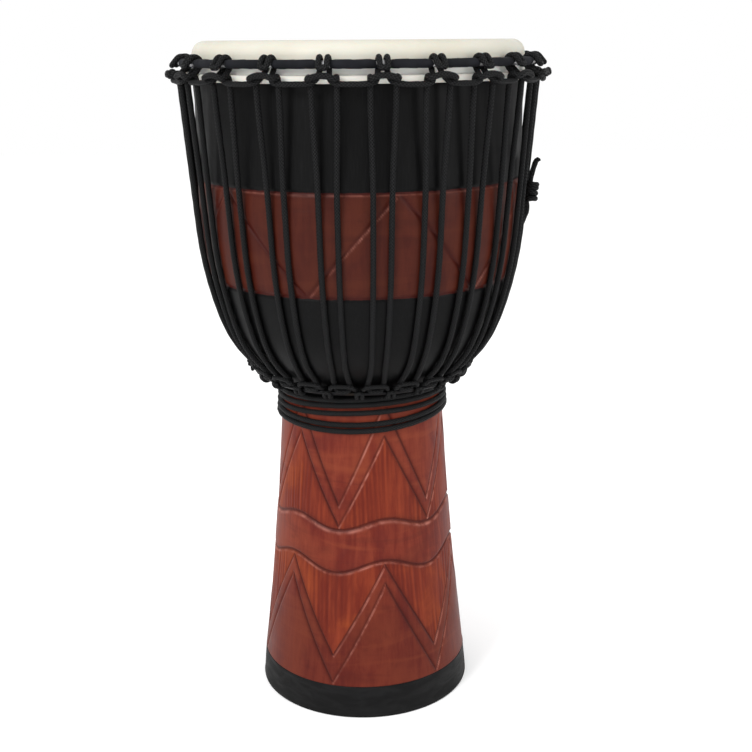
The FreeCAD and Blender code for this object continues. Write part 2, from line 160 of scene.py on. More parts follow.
def new_object(name, verts, faces, smooth=True, uvs=None):
    """A mesh object from arrays; uvs holds one pair for each face corner."""
    mesh = bpy.data.meshes.new(name)
    mesh.from_pydata(np.asarray(verts, float).tolist(), [], [list(f) for f in faces])
    mesh.polygons.foreach_set("use_smooth", [smooth] * len(mesh.polygons))
    if uvs is not None:
        layer = mesh.uv_layers.new(name="UVMap")
        layer.data.foreach_set("uv", np.asarray(uvs, np.float32).ravel())
    mesh.update()
    obj = bpy.data.objects.new(name, mesh)
    bpy.context.scene.collection.objects.link(obj)
    return obj


def add_attribute(obj, name, values):
    """A number for each vertex, which the material reads."""
    layer = obj.data.attributes.new(name, "FLOAT", "POINT")
    layer.data.foreach_set("value", np.asarray(values, np.float32).ravel())


def finish_piece(obj, material, slot, body, *nodes):
    """Gives a piece its material and the body that it rides, and hides the nodes that it replaces; slot is
    not used.
    """
    obj.data.materials.append(material)
    if nodes:
        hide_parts(*nodes)
    if body:
        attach(obj, body)


def grid_faces(rows, columns, first=0, close_rows=False):
    """Quads of a grid whose columns run round in a circle."""
    row = np.arange(rows if close_rows else rows - 1)[:, None]
    col = np.arange(columns)[None, :]
    nxt = (col + 1) % columns
    below = (row + 1) % rows
    quads = [row * columns + col, below * columns + col, below * columns + nxt, row * columns + nxt]
    return (np.stack(quads, -1).reshape(-1, 4) + first).tolist()


def spin(azimuth, radius, height):
    """Points in space from an azimuth off the front, a radius and a height."""
    return np.stack([radius * np.sin(azimuth), -radius * np.cos(azimuth), height + 0.0 * azimuth], -1)


# ---------------------------------------------------------------- rope tubes


def smooth_route(points, passes=3, closed=False):
    """Rounds a route's corners by cutting them again and again."""
    p = np.asarray(points, float)
    for _ in range(passes):
        q = np.roll(p, -1, 0) if closed else p[1:]
        a = p if closed else p[:-1]
        cut = np.stack([0.75 * a + 0.25 * q, 0.25 * a + 0.75 * q], 1).reshape(-1, 3)
        p = cut if closed else np.vstack([p[:1], cut, p[-1:]])
    return p


def even_steps(points, step, closed=False):
    """The same line with points a given step apart."""
    p = np.vstack([points, points[:1]]) if closed else points
    along = np.concatenate([[0.0], np.cumsum(np.linalg.norm(np.diff(p, axis=0), axis=1))])
    count = max(4, int(round(along[-1] / step)))
    wanted = np.linspace(0.0, along[-1], count + 1)
    line = np.stack([np.interp(wanted, along, p[:, i]) for i in range(3)], 1)
    return line[:-1] if closed else line


def rope_frames(line, closed):
    """Two unit vectors across the line at each of its points, turning as little as they can."""
    if closed:
        ahead, behind = np.roll(line, -1, 0), np.roll(line, 1, 0)
    else:
        ahead, behind = np.vstack([line[1:], line[-1:]]), np.vstack([line[:1], line[:-1]])
    heading = ahead - behind
    heading /= np.linalg.norm(heading, axis=1)[:, None]
    across = np.cross(heading[0], [0.31, 0.17, 0.93])
    sides = []
    for t in heading:
        across = across - t * (across @ t)
        across /= np.linalg.norm(across)
        sides.append(across)
    sides = np.array(sides)
    return sides, np.cross(heading, sides)


CUT_END = 0.72      # how much a rope narrows at its cut ends


class RopeMesh:
    """Collects rope tubes into one mesh, with a length-and-turn map for the braid."""

    def __init__(self, radius, sides=12):
        self.radius = radius
        self.sides = sides
        self.verts = []
        self.faces = []
        self.uvs = []

    def add(self, points, step, passes=3, closed=False):
        """One tube along a route of control points."""
        line = even_steps(smooth_route(points, passes, closed), step, closed)
        side, other = rope_frames(line, closed)
        count, first = len(line), len(self.verts)
        turn = np.linspace(0.0, 2.0 * math.pi, self.sides, endpoint=False)
        wobble = 1.0 + 0.03 * np.sin(np.arange(count) * 0.9 + RNG.uniform(0, 6))[:, None]
        ring = np.cos(turn)[None, :, None] * side[:, None] + np.sin(turn)[None, :, None] * other[:, None]
        radius = self.radius * wobble[:, :, None] * np.ones((count, self.sides, 1))
        if not closed:
            radius[0] *= CUT_END
            radius[-1] *= CUT_END
        verts = line[:, None] + ring * radius
        self.verts += verts.reshape(-1, 3).tolist()
        along = np.concatenate([[0.0], np.cumsum(np.linalg.norm(np.diff(line, axis=0), axis=1))])
        rows = count if closed else count - 1
        for i in range(rows):
            j = (i + 1) % count
            u0, u1 = along[i], along[j] if j else along[i] + step
            for k in range(self.sides):
                n = (k + 1) % self.sides
                self.faces.append([first + i * self.sides + k, first + i * self.sides + n,
                                   first + j * self.sides + n, first + j * self.sides + k])
                v0, v1 = k / self.sides, (k + 1) / self.sides
                self.uvs += [(u0, v0), (u0, v1), (u1, v1), (u1, v0)]
        if not closed:
            for row, flip in ((0, True), (count - 1, False)):
                cap = [first + row * self.sides + k for k in range(self.sides)]
                self.faces.append(cap[::-1] if flip else cap)
                self.uvs += [(along[row], 0.0)] * self.sides

    def build(self, name):
        """The finished mesh object."""
        return new_object(name, self.verts, self.faces, uvs=self.uvs)


def hitch_azimuth(index):
    """Where a hitch sits; the hand-tied ones stand a little unevenly."""
    even = FIRST_HITCH + index * HITCH_STEP
    return even + math.radians(1.5) * (math.cos(2.0 * (even - math.radians(12.0))) - 0.25)


def local_points(azimuth, points):
    """Points given as (across, out, up) in a hitch's own upright frame."""
    p = np.asarray(points, float)
    right = np.array([math.cos(azimuth), math.sin(azimuth), 0.0])
    out = np.array([math.sin(azimuth), -math.cos(azimuth), 0.0])
    return p[:, :1] * right + p[:, 1:2] * out + p[:, 2:] * np.array([0.0, 0.0, 1.0])


def touch_angle(out, up, radius, side):
    """Angle at which a line from a point beside a ring touches a circle round the ring."""
    return math.atan2(up, out) + side * math.acos(radius / math.hypot(out, up))


def cow_hitch_points(ring, wrap_radius, layout, upward):
    """Control points of one hitch, from its left flare to its right one, in its own frame."""
    offset, bar_out, bar_down, tail_out, tail_down, flare, cradle_out, cradle_down = layout
    first = touch_angle(bar_out, -bar_down, wrap_radius, 1.0)
    last = touch_angle(tail_out, -tail_down, wrap_radius, -1.0) + 2.0 * math.pi
    steps = 5
    half = 0.5 * (last - first) / steps
    reach = wrap_radius / math.cos(half)
    right = [(0.55 * offset, ring[0] + bar_out, ring[1] - upward * bar_down),
             (offset, ring[0] + bar_out, ring[1] - upward * bar_down)]
    for i in range(steps):
        a = first + half * (2 * i + 1)
        right.append((offset, ring[0] + reach * math.cos(a), ring[1] + upward * reach * math.sin(a)))
    right.append((1.5 * offset, ring[0] + tail_out, ring[1] - upward * tail_down))
    right.append((flare, ring[0] + cradle_out, ring[1] - upward * cradle_down))
    left = [(-x, y, z) for x, y, z in reversed(right)]
    return left + right


# ---------------------------------------------------------------- carving
# The carver's pattern repeats six times round the drum. It is a little stretched at the
# front, which the drawn angle makes up for.

PATTERN = 6
BAND_APEX, UPPER_APEX, LOWER_APEX = math.radians(12.5), math.radians(15.0), math.radians(13.0)


def drawn_angle(azimuth):
    """The azimuth in the even pattern that the carver stretched at the front."""
    return azimuth - math.radians(2.3) * np.sin(azimuth)


def zigzag(angle, apex, low, high):
    """Height of a zigzag line between its valleys and its apexes."""
    t = ((angle - apex) * PATTERN / (2.0 * math.pi)) % 1.0
    return low + (high - low) * np.abs(2.0 * t - 1.0)


def wave(angle, crest, middle, swing):
    """Height of a wavy line."""
    return middle + swing * np.cos(PATTERN * (angle - crest))


def lean_share(line, azimuth, radius):
    """Cosine that turns a height above a sloping line into a distance from it."""
    slope = np.gradient(line, axis=1) / (np.gradient(azimuth, axis=1) * radius)
    return 1.0 / np.sqrt(1.0 + slope**2)


def ramp(value, low, high):
    """Smooth step from 0 to 1."""
    t = np.clip((value - low) / (high - low), 0.0, 1.0)
    return t * t * (3.0 - 2.0 * t)


class Carving:
    """Depth of the cuts, and masks for the material, over the grid of the shell's outside."""

    def __init__(self, azimuth, height, radius):
        self.azimuth, self.height, self.radius = azimuth, height, radius
        self.angle = drawn_angle(azimuth)
        self.depth = np.zeros_like(height)
        self.groove_shade = np.zeros_like(height)
        self.edge = np.zeros_like(height)
        self.gouged = np.zeros_like(height)

    def distance(self, line):
        """Signed distance above a line, in metres."""
        return (self.height - line) * lean_share(line, self.azimuth, self.radius)

    def cut(self, line, depth, half_width, zone, bright, lip=0.55 * MM, leaning=1.0):
        """A V cut along a line, with soft shoulders, painted shade in and beside it, and a pale edge below
        it: a rubbed edge with a painted highlight.

        leaning says how far the pale edge keeps to the parts that rise to the right, which face the key
        light; the painted shade is darker beside the parts that fall.
        """
        d = self.distance(line)
        rise = np.gradient(line, axis=1) / (np.gradient(self.azimuth, axis=1) * self.radius)
        rising = ramp(rise, -0.5, 0.5)
        patchy = 0.60 + 0.25 * np.sin(9.0 * self.azimuth + 0.8) + 0.15 * np.sin(41.0 * self.azimuth)
        shape = np.clip(1.0 - np.abs(d) / half_width, 0.0, 1.0) * zone
        shoulder = np.exp(-((d / (1.7 * half_width)) ** 2)) * zone
        self.depth = np.maximum(self.depth, depth * (0.85 * shape + 0.15 * shoulder))
        # painted shade in the cut and on its shoulders, darkest beside the parts that fall away from the key
        # light
        run_in = ramp(shape, 0.0, 0.7) * (1.0 - 0.45 * rising * leaning)
        self.groove_shade = np.maximum(self.groove_shade, np.maximum(run_in, 0.55 * shoulder * (1.0 - 0.8 * rising)))
        # pale edge below the cut: rubbed wood with a painted highlight, patchy
        pale = np.exp(-(((d + half_width * 0.6 + lip) / lip) ** 2)) * zone
        self.edge = np.maximum(self.edge, bright * pale * (1.0 - leaning * (1.0 - rising)) * patchy)

    def gouge(self, zone, depth):
        """Upright gouge strokes of uneven width that sink a zone."""
        wander = 0.020 * np.sin(self.height / (37.0 * MM) + 5.0 * self.azimuth)
        turned = self.azimuth + wander
        strokes = 0.5 + 0.28 * np.cos(118.0 * turned) + 0.22 * np.cos(71.0 * turned + 1.3)
        uneven = 0.5 + 0.5 * np.sin(8.0 * self.azimuth + 2.0 * np.sin(self.height / (26.0 * MM)))
        self.depth = np.maximum(self.depth, zone * depth * (0.55 + 0.80 * strokes * uneven))
        self.gouged = np.maximum(self.gouged, zone * (0.40 + 0.60 * strokes * (0.25 + 0.75 * uneven)))


def carve(azimuth, height, radius):
    """All the cuts on the outside of the shell."""
    c = Carving(azimuth, height, radius)
    flat = np.ones_like(height)
    soft = 0.8 * MM

    band = ramp(height, BAND_BOTTOM, BAND_BOTTOM + soft) * ramp(-height, -BAND_TOP, -BAND_TOP + soft)
    c.cut(BAND_TOP + 0.0 * height, 1.7 * MM, 2.3 * MM, flat, 0.5, leaning=0.0)
    c.cut(BAND_BOTTOM + 0.0 * height, 1.7 * MM, 2.3 * MM, flat, 0.5, leaning=0.0)
    c.cut(zigzag(c.angle, BAND_APEX, BAND_BOTTOM, BAND_TOP), 1.6 * MM, 2.1 * MM, band, 0.6)

    upper_wave = wave(c.angle, UPPER_APEX, 190.0 * MM, 5.2 * MM)
    lower_wave = wave(c.angle, LOWER_APEX, 149.0 * MM, 6.0 * MM)
    upper_zone = ramp(height - upper_wave, 0.0, soft) * ramp(-height, -NECK[1], -NECK[1] + soft)
    lower_zone = ramp(lower_wave - height, 0.0, soft) * (height > FOOT_TOP)

    upper_inner = zigzag(c.angle, UPPER_APEX, 188.5 * MM, 275.0 * MM)
    upper_outer = zigzag(c.angle, UPPER_APEX, 208.7 * MM, 306.0 * MM)
    c.gouge(upper_zone * ramp(c.distance(upper_inner) * -1.0, 0.4 * MM, 1.5 * MM), 0.65 * MM)
    c.cut(upper_inner, 1.4 * MM, 1.6 * MM, upper_zone, 1.2)
    c.cut(upper_outer, 1.2 * MM, 1.5 * MM, upper_zone, 1.0)

    lower_outer = zigzag(c.angle, LOWER_APEX, 61.0 * MM, 151.5 * MM)
    lower_inner = zigzag(c.angle, LOWER_APEX, 34.0 * MM, 133.0 * MM)
    c.gouge(lower_zone * ramp(c.distance(lower_outer), 0.4 * MM, 1.5 * MM), 0.65 * MM)
    c.cut(lower_outer, 1.3 * MM, 1.5 * MM, lower_zone, 0.9)
    c.cut(lower_inner, 1.2 * MM, 1.5 * MM, lower_zone, 0.9)

    c.cut(upper_wave, 1.9 * MM, 2.4 * MM, flat, 0.95, 1.3 * MM, 0.25)
    c.cut(lower_wave, 1.9 * MM, 2.3 * MM, flat, 0.8, 0.9 * MM, 0.25)
    return c


# ---------------------------------------------------------------- shell

OUTER_COLUMNS = 640
INNER_SHARE = 4


def outer_heights():
    """Row heights down the outside, close together where it is carved."""
    zones = [
        (RIM_HEIGHT - EDGE_ROUNDING, BAND_TOP + 4 * MM, 14),
        (BAND_TOP + 4 * MM, BAND_BOTTOM - 4 * MM, 86),
        (BAND_BOTTOM - 4 * MM, THROAT_HEIGHT, 30),
        (THROAT_HEIGHT, FOOT_TOP, 250),
    ]
    rows = [np.linspace(top, bottom, count, endpoint=False) for top, bottom, count in zones]
    return np.concatenate(rows + [[FOOT_TOP]])


def inner_section():
    """The bore from the rebate up to the bearing edge, as (radius, height) points."""
    inner_top = SHELL_RADIUS - BOWL_WALL
    turn = np.array([inner_top, TURN[1]])
    shoulder = SHOULDER - THICKENING - (BOWL_WALL, 0.0)
    throat_lip = THROAT_LIP + (THROAT_RADIUS, BOWL_BASE[1])
    throat = np.array([THROAT_RADIUS, THROAT_HEIGHT])
    side = tangent_arc(turn, 0.0, shoulder)
    belly = tangent_arc(shoulder, side[3], throat_lip)
    hollow = tangent_arc(throat_lip, belly[3], throat)
    down = arc_points(side, 12) + arc_points(belly, 12)[1:] + arc_points(hollow, 6)[1:]
    bore = [throat + (np.array([FOOT_BORE, FOOT_SOLE]) - throat) * t for t in np.linspace(0, 1, 40)[1:]]
    top = [np.array([inner_top, z]) for z in np.linspace(RIM_HEIGHT - 3.5 * MM, TURN[1], 12)[:-1]]
    return np.array((top + down + bore)[::-1])


def adze_marks(azimuth, height):
    """How far the rough-cut inside wall stands from its even shape."""
    facets = np.abs(np.sin(15.0 * azimuth + height / (14.0 * MM)))
    steps = np.abs(np.sin(height / (9.0 * MM) + 3.0 * np.sin(4.0 * azimuth)))
    return 0.5 * MM * facets * (0.5 + 0.5 * steps)


def build_shell():
    """The carved goblet as one closed mesh: fine outside, coarser inside."""
    heights = outer_heights()
    azimuths = np.linspace(0.0, 2.0 * math.pi, OUTER_COLUMNS, endpoint=False)
    height, azimuth = np.meshgrid(heights, azimuths, indexing="ij")
    radius = wood_radius(height)
    carving = carve(azimuth, height, radius)
    slope = np.gradient(wood_radius(heights), heights)[:, None]
    length = np.sqrt(1.0 + slope**2)
    fade = ramp(height, FOOT_TOP + 0.2 * MM, FOOT_TOP + 1.5 * MM)
    hand = 0.25 * MM * np.sin(3.0 * azimuth + height / (60.0 * MM)) * np.sin(height / (37.0 * MM) + 1.3)
    depth = (carving.depth - hand * (height < TURN[1])) * fade
    outside = spin(azimuth, radius - depth / length, height + depth * slope / length)

    rim = []
    for lean in np.linspace(0.0, math.pi / 2.0, 9)[1:][::-1]:
        r = SHELL_RADIUS - EDGE_ROUNDING + EDGE_ROUNDING * math.cos(lean)
        rim.append(spin(azimuths, r, RIM_HEIGHT - EDGE_ROUNDING + EDGE_ROUNDING * math.sin(lean)))
    outer = np.concatenate([np.array(rim), outside])
    extra = len(rim)

    inner_azimuths = azimuths[::INNER_SHARE]
    step = np.array([[REBATE_RADIUS, FOOT_TOP], [REBATE_RADIUS, FOOT_SOLE]])
    section = inner_section()
    inner_rows = [spin(inner_azimuths, r, z) for r, z in step]
    for r, z in section:
        rough = adze_marks(inner_azimuths, z) if z < RIM_HEIGHT - 6 * MM and z > FOOT_SOLE + 4 * MM else 0.0
        inner_rows.append(spin(inner_azimuths, r + rough, z))
    inner = np.array(inner_rows)

    outer_count, columns = outer.shape[:2]
    inner_count, coarse = inner.shape[:2]
    verts = np.concatenate([outer.reshape(-1, 3), inner.reshape(-1, 3)])
    base = outer_count * columns
    faces = grid_faces(outer_count, columns) + grid_faces(inner_count, coarse, base)
    faces += fan_faces((outer_count - 1) * columns, columns, base, coarse, False)
    faces += fan_faces(0, columns, base + (inner_count - 1) * coarse, coarse, True)

    obj = new_object("carved_shell", verts, faces)
    pad = np.zeros(inner.shape[0] * inner.shape[1])
    for name, values in (("groove_shade", carving.groove_shade), ("edge", carving.edge), ("gouged", carving.gouged)):
        full = np.concatenate([np.zeros(extra * columns), (values * fade).ravel(), pad])
        add_attribute(obj, name, full)
    inside = np.concatenate([np.zeros(outer_count * columns), np.ones_like(pad)])
    add_attribute(obj, "inside", inside)
    return obj


def fan_faces(fine_first, fine_count, coarse_first, coarse_count, flip):
    """Faces between a fine circle and a coarse one whose points lie beside every fourth fine one."""
    faces = []
    share = fine_count // coarse_count
    for k in range(coarse_count):
        here, there = coarse_first + k, coarse_first + (k + 1) % coarse_count
        fine = [fine_first + (k * share + i) % fine_count for i in range(share + 1)]
        middle = share // 2
        group = [(here, fine[i + 1], fine[i]) for i in range(middle)]
        group.append((here, there, fine[middle]))
        group += [(there, fine[i + 1], fine[i]) for i in range(middle, share)]
        faces += [face[::-1] if flip else face for face in group]
    return faces


# ---------------------------------------------------------------- turned pieces


def turned(name, section, columns, ripple=None):
    """A closed ring turned from a closed half section; ripple(azimuth, index) moves its points."""
    azimuths = np.linspace(0.0, 2.0 * math.pi, columns, endpoint=False)
    rows = []
    for index, (r, z) in enumerate(section):
        extra = ripple(azimuths, index) if ripple else 0.0
        rows.append(spin(azimuths, r + extra, z))
    verts = np.array(rows).reshape(-1, 3)
    faces = [face[::-1] for face in grid_faces(len(section), columns, close_rows=True)]
    return new_object(name, verts, faces)


def rounded_corner(corner, start, end, bevel, count=4):
    """Points of a rounded corner of a half section."""
    a = corner + (start - corner) * (bevel / np.hypot(*(start - corner)))
    b = corner + (end - corner) * (bevel / np.hypot(*(end - corner)))
    return [(1 - t) ** 2 * a + 2 * t * (1 - t) * corner + t * t * b for t in np.linspace(0, 1, count)]


def build_foot_band():
    """The rubber band let into the foot, with softened edges and a slightly uneven face."""
    corners = [
        np.array(c) for c in (
            (FOOT_RADIUS, 0.0),
            (STEM_END[0] + 0.25 * MM, FOOT_TOP),
            (REBATE_RADIUS, FOOT_TOP),
            (REBATE_RADIUS, FOOT_SOLE),
            (BAND_LIP, FOOT_SOLE),
            (BAND_LIP, 0.0),
        )
    ]
    bevels = [2.2 * MM, 0.9 * MM, 0.2 * MM, 0.2 * MM, 0.5 * MM, 0.8 * MM]
    section = []
    for i, corner in enumerate(corners):
        before, after = corners[i - 1], corners[(i + 1) % len(corners)]
        section += rounded_corner(corner, before, after, bevels[i])
        if i == 0:
            section += [corner + (after - corner) * t for t in np.linspace(0.12, 0.92, 9)]

    def ripple(azimuths, index):
        on_face = 4 <= index < 13
        return -0.22 * MM * on_face * (0.5 + 0.5 * np.sin(5.0 * azimuths + index * 0.6))

    return turned("rubber_foot_band", section, 320, ripple)


def build_ring_cloth():
    """The strip of cloth wound in overlapping turns round the crown ring, squeezed by the hitches."""
    count, sides, turns = 1320, 14, 66
    azimuths = np.linspace(0.0, 2.0 * math.pi, count, endpoint=False)
    around = np.linspace(0.0, 2.0 * math.pi, sides, endpoint=False)
    a, b = np.meshgrid(azimuths, around, indexing="ij")
    phase = (a / (2.0 * math.pi) * turns + b / (2.0 * math.pi)) % 1.0
    thick = 3.55 * MM + 0.28 * MM * phase + 0.10 * MM * np.sin(37.0 * a + 3.0 * b)
    for index in range(HITCHES):
        aside = (a - hitch_azimuth(index) + math.pi) % (2.0 * math.pi) - math.pi
        thick = thick - SQUEEZE * np.exp(-((aside * CROWN_RING[0] / (6.5 * MM)) ** 4))
    verts = spin(a, CROWN_RING[0] + thick * np.cos(b), CROWN_RING[1] + thick * np.sin(b))
    return new_object("ring_cloth_winding", verts.reshape(-1, 3), grid_faces(count, sides, close_rows=True))


# ---------------------------------------------------------------- ropes

# offset, bar out, bar down, tail out, tail down, flare, cradle out, cradle down
CROWN_LAYOUT = (3.3 * MM, 8.5 * MM, 2.6 * MM, 4.6 * MM, 12.4 * MM, 10.2 * MM, 7.7 * MM, 14.9 * MM)
BOTTOM_LAYOUT = (2.5 * MM, 4.6 * MM, 1.2 * MM, 5.4 * MM, 4.2 * MM, 5.8 * MM, 9.5 * MM, 8.3 * MM)


def loop_rope(name, ring, wrap_radius, layout, upward, radius, slack, shift=0.0):
    """One rope that hitches round a ring 22 times and runs level from each hitch to the next."""
    control = []
    for index in range(HITCHES):
        azimuth = hitch_azimuth(index + shift)
        wobble = RNG.normal(0.0, 1.0, 8) * np.array([0.12, 0.2, 0.35, 0.2, 0.3, 0.5, 0.2, 0.35]) * MM * slack
        points = cow_hitch_points(ring, wrap_radius, tuple(np.add(layout, wobble)), upward)
        control += local_points(azimuth, points).tolist()
        gap = hitch_azimuth(index + 1 + shift) - azimuth
        level = ring[1] - upward * (layout[7] + RNG.uniform(0.1, 0.9) * MM)
        for share in (0.36, 0.5, 0.64):
            a = azimuth + gap * share
            out = ring[0] + layout[6] + 0.1 * MM
            control.append([out * math.sin(a), -out * math.cos(a), level])
    rope = RopeMesh(radius)
    rope.add(control, step=1.5 * MM, passes=3, closed=True)
    return rope.build(name)


BIGHT = (169.9 * MM, 600.5 * MM)      # where a pair's bight crosses the crown cradle
STRAND_TOP = 162.4 * MM               # radius of a strand at the bight's height


def strand_section():
    """One strand in its own half plane, from behind the crown cradle to just above the bottom ring."""
    centre, radius = SIDE_ARC[0], SIDE_ARC[1] + STAND_OFF
    top = np.array([STRAND_TOP, BIGHT[1]])
    offset = top - centre
    touch = math.atan2(-offset[1], offset[0]) + math.acos(radius / np.hypot(*offset))
    run = [top + (centre + outward(touch) * radius - top) * t for t in np.linspace(0.06, 1.0, 10)]
    side = arc_points((centre, SIDE_ARC[1], touch, SIDE_ARC[3]), 9, STAND_OFF)[1:]
    belly = arc_points((BELLY_ARC[0], BELLY_ARC[1], BELLY_ARC[2], math.radians(44.0)), 7, STAND_OFF)[1:]
    return run + side + belly


def half_gap(height):
    """Half the angle between the two strands of a pair at a height."""
    wide, narrow = math.radians(3.7), math.radians(2.95)
    top = ramp(height, 500 * MM, 590 * MM)
    low = ramp(-height, -352 * MM, -332 * MM)
    return narrow + (wide - narrow) * top + math.radians(0.9) * low


def build_tension_rope():
    """The long rope's 22 pairs of strands, each pair with its bight over the cradle."""
    section = strand_section()
    rope = RopeMesh(ROPE_RADIUS)
    for index in range(HITCHES):
        azimuth = hitch_azimuth(index)
        sides = []
        for side in (-1.0, 1.0):
            drift = math.radians(RNG.normal(0.0, 0.16))
            sides.append([
                spin(np.array(azimuth + side * half_gap(z) + drift * ramp(-z, -600 * MM, -460 * MM)), r, z)
                for r, z in section
            ])
        lift = RNG.uniform(-0.4, 0.4) * MM
        arch = [(-10.6, -7.5, 0.6), (-11.8, 1.4, -2.8), (-8.8, 2.0, -1.1), (-4.4, 1.9, 0.3), (0.0, 1.9, 0.6)]
        arch += [(-x, y, z) for x, y, z in reversed(arch[:-1])]
        arch = [(x * MM, BIGHT[0] + y * MM, BIGHT[1] + z * MM + lift) for x, y, z in arch]
        turn = [(7.0, 98.6, 329.2), (5.2, 100.0, 325.6), (0.0, 101.3, 324.6)]
        turn += [(-x, y, z) for x, y, z in reversed(turn[:-1])]
        turn = [(x * MM, y * MM, z * MM) for x, y, z in turn]
        route = [*sides[0][::-1], *local_points(azimuth, arch), *sides[1], *local_points(azimuth, turn)]
        rope.add(route, step=2.4 * MM, passes=3, closed=True)
    return rope.build("tension_rope_strands")


def beside_wood(height):
    """Radius at which a turn of rope rests in the hollow of the neck or on the stem below it."""
    if height > NECK[1]:
        reach = abs(HOLLOW_ARC[1]) - STAND_OFF
        return HOLLOW_ARC[0][0] - math.sqrt(reach**2 - (height - HOLLOW_ARC[0][1]) ** 2)
    return float(wood_radius(np.array(height))) + STAND_OFF


def build_neck_rope():
    """Spare rope round the neck: three close turns, a step down at the back and two more."""
    heights = [311.8, 306.0, 298.4, 287.6, 281.8]
    gather = [-1.2, -2.2, -1.8, 3.0, 3.4]
    tilt = 3.1 * MM
    points = []
    for turn, height in enumerate(heights):
        following = heights[turn + 1] if turn + 1 < len(heights) else height - 5.2
        for step in range(36):
            azimuth = math.pi + 2.0 * math.pi * step / 36.0
            drop = ramp(np.array(step / 36.0), 0.80 if turn != 2 else 0.86, 1.0)
            z = (height + (following - height) * float(drop)) * MM + tilt * math.sin(azimuth)
            z += (gather[turn] * math.sin(azimuth) ** 2 + 0.35 * math.sin(2.0 * azimuth + turn)) * MM
            if turn == len(heights) - 1 and step > 33:
                break
            r = float(beside_wood(z))
            points.append(spin(np.array(azimuth), r, z))
    rope = RopeMesh(ROPE_RADIUS)
    rope.add(points, step=2.2 * MM, passes=2)
    return rope.build("neck_rope_turns")


def build_tie_knot(name, azimuth, start, levels, out, reach, tail, radius):
    """Rope that comes along a strand, turns round it at several levels and ends in a cut tail.

    out gives the radius of the turns' middle at the lowest and the highest level; reach is how
    far they go across and outwards.
    """
    route = list(start)
    steps = 10
    for turn, low in enumerate(levels[:-1]):
        for step in range(steps):
            share = (turn + step / steps) / (len(levels) - 1)
            angle = 2.0 * math.pi * step / steps - math.pi / 2.0
            middle = out[0] + (out[1] - out[0]) * share
            height = low + (levels[turn + 1] - low) * step / steps
            route.append((reach[0] * math.cos(angle), middle + reach[1] * math.sin(angle), height))
    route = [(x * MM, y * MM, z * MM) for x, y, z in route + tail]
    rope = RopeMesh(radius)
    rope.add(local_points(azimuth, route), step=1.2 * MM, passes=2)
    return rope.build(name)


def build_side_knot():
    """The knot on the right, in four turns round a strand, with a cut tail that points up."""
    azimuth = hitch_azimuth(5) - half_gap(0.49)
    start = [(1.8, 150.6, 462.0), (1.4, 153.0, 468.0), (0.9, 156.0, 476.0)]
    levels = [484.4, 487.0, 494.0, 496.8, 500.0]
    tail = [(2.4, 157.6, 500.0), (1.2, 158.6, 506.0), (0.8, 160.6, 514.0), (0.6, 162.6, 520.0)]
    tail += [(0.4, 164.3, 521.6), (0.2, 165.4, 519.4)]
    return build_tie_knot(
        "side_tie_knot_turns", azimuth, start, levels, (158.6, 160.0), (5.0, 4.2), tail, ROPE_RADIUS)


def build_lower_knot():
    """The small knot low on the left, in two turns of the lower cord, with a tail that hangs."""
    azimuth = math.radians(-83.5)
    start = [(1.5, 103.0, 335.0)]
    levels = [333.2, 330.2, 326.8]
    tail = [(1.4, 105.6, 326.4), (0.6, 105.8, 324.0), (0.0, 105.4, 322.2)]
    return build_tie_knot(
        "lower_tie_knot_turns", azimuth, start, levels, (106.2, 105.0), (4.4, 3.2), tail, CORD_RADIUS)


# ---------------------------------------------------------------- skin


def skin_section(layer):
    """Half section of the skin's outer (layer 1) or inner (layer 0) face, from the centre outwards."""
    peak = SHELL_RADIUS - EDGE_ROUNDING
    edge = EDGE_ROUNDING + layer * SKIN
    corner = RIM_HEIGHT - EDGE_ROUNDING
    top = corner + edge
    radii = np.concatenate([[2.0 * MM], np.linspace(14 * MM, peak - 8 * MM, 13), [peak]])
    flat = [(r, top) for r in radii]
    leans = np.linspace(0.15, math.pi / 2, 9)
    bend = [(peak + edge * math.sin(a), corner + edge * math.cos(a)) for a in leans]
    spread, fall = 0.25 * MM * (1 - layer * 0.4), 14.0 * MM
    side = [(peak + edge + spread * t, corner - fall * t) for t in (0.3, 0.6, 0.85)]
    ring = FLESH_RING
    reach = 3.1 * MM if layer else 3.9 * MM
    fold = [
        (ring[0] - reach * math.cos(a), ring[1] - reach * math.sin(a))
        for a in np.linspace(0.0, math.radians(225.0), 15)
    ]
    return np.array(flat + bend + side + fold)


def build_skin():
    """The goatskin as one closed sheet: flat, over the rim, down and folded round its ring."""
    columns = 352
    azimuths = np.linspace(0.0, 2.0 * math.pi, columns, endpoint=False)
    outer, inner = skin_section(1), skin_section(0)
    rows = []
    for section in (outer, inner[::-1]):
        for r, z in section:
            low = float(ramp(np.array(-z), -618 * MM, -604 * MM))
            pull = 0.28 * MM * np.cos(HITCHES * (azimuths - FIRST_HITCH)) * low
            crease = 0.10 * MM * np.sin(71.0 * azimuths + 3.0 * np.sin(9.0 * azimuths)) * low
            sag = -0.12 * MM * np.sin(2.0 * azimuths + 0.7) * (r / SHELL_RADIUS) ** 2 * (1.0 - low)
            rows.append(spin(azimuths, r - pull - crease, z + sag * (z > 620 * MM)))
    count = len(rows)
    verts = np.array(rows).reshape(-1, 3).tolist()
    faces = grid_faces(count, columns)
    for row, pole_height, flip in ((0, outer[0][1], False), (count - 1, inner[0][1], True)):
        pole = len(verts)
        verts.append((0.0, 0.0, pole_height))
        for k in range(columns):
            face = (pole, row * columns + k, row * columns + (k + 1) % columns)
            faces.append(face[::-1] if flip else face)
    return new_object("goatskin_sheet", verts, faces)


# ---------------------------------------------------------------- materials


